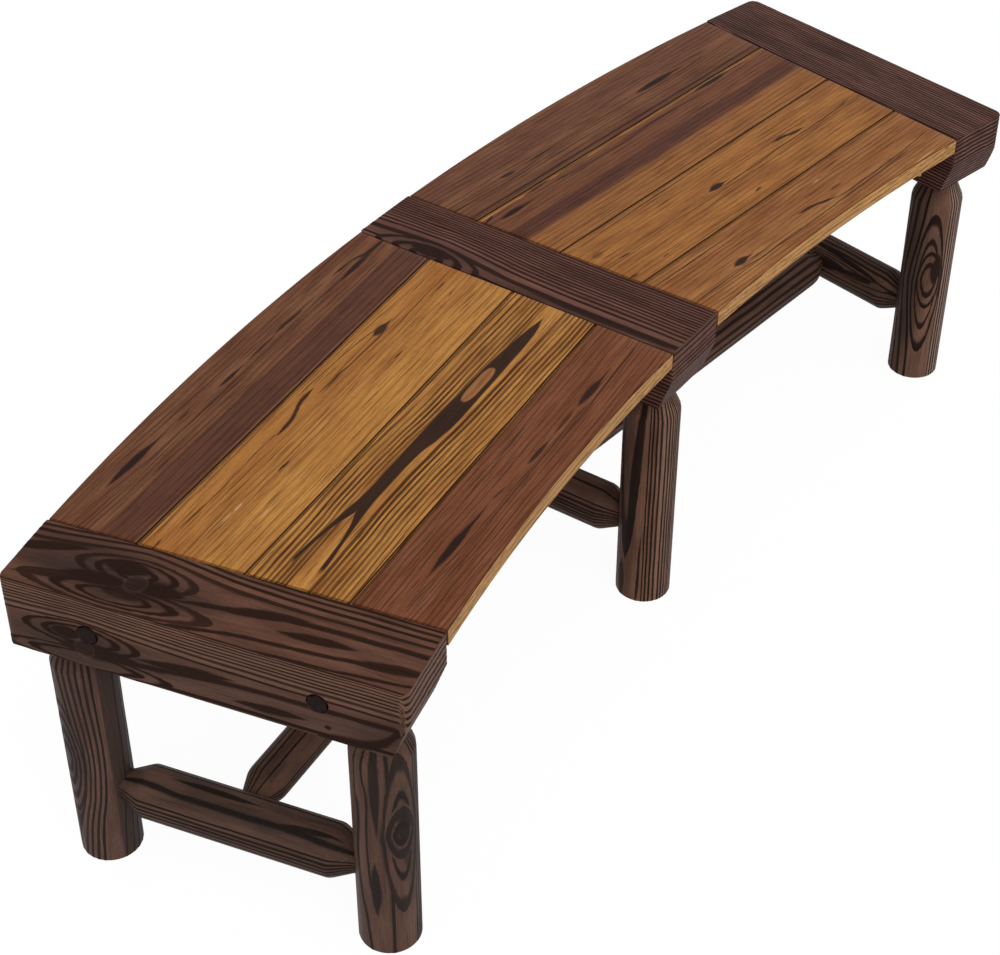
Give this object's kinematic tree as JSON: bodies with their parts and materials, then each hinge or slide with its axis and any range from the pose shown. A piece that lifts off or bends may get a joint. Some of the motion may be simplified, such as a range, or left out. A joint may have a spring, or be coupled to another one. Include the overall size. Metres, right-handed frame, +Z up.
{
  "type": "log bench",
  "caption": "Curved rustic log bench: plank seat let in between squared log beams, on turned log legs joined by turned stretchers.",
  "frame": {"origin": "on the floor, in the middle of the bench's bounding box in plan", "axes": "+X along the bench to the sitter's left when seated facing the inside of the curve, +Y to the long convex back edge, +Z up"},
  "size_m": [1.673, 0.5776, 0.457],
  "materials": {
    "beam_wood": "brushed and dark stained, satin",
    "log_wood": "brushed and dark stained, satin",
    "plank_wood": "oiled, low satin",
    "ledger_wood": "sawn and oiled",
    "bolt_steel": "black oxide",
    "screw_steel": "plain zinc"
  },
  "bodies": {
    "root": {"batten_screws_left": "screw_steel", "batten_screws_right": "screw_steel", "bolt_nuts": "bolt_steel", "bolt_washers": "bolt_steel", "cross_stretcher_left": "log_wood", "cross_stretcher_middle": "log_wood", "cross_stretcher_right": "log_wood", "end_beam_bolts": "bolt_steel", "end_beam_left": "beam_wood", "end_beam_right": "beam_wood", "ledger_screws_left": "screw_steel", "ledger_screws_right": "screw_steel", "leg_left_back": "log_wood", "leg_left_front": "log_wood", "leg_middle_back": "log_wood", "leg_middle_front": "log_wood", "leg_right_back": "log_wood", "leg_right_front": "log_wood", "leg_tenon_screws": "screw_steel", "long_stretcher_left": "log_wood", "long_stretcher_right": "log_wood", "middle_beam": "beam_wood", "middle_beam_bolts": "bolt_steel", "seat_batten_left": "ledger_wood", "seat_batten_right": "ledger_wood", "seat_ledger_left_left": "ledger_wood", "seat_ledger_left_middle": "ledger_wood", "seat_ledger_right_middle": "ledger_wood", "seat_ledger_right_right": "ledger_wood", "seat_plank_left_1": "plank_wood", "seat_plank_left_2": "plank_wood", "seat_plank_left_3": "plank_wood", "seat_plank_left_4": "plank_wood", "seat_plank_right_1": "plank_wood", "seat_plank_right_2": "plank_wood", "seat_plank_right_3": "plank_wood", "seat_plank_right_4": "plank_wood"}
  },
  "joints": []
}
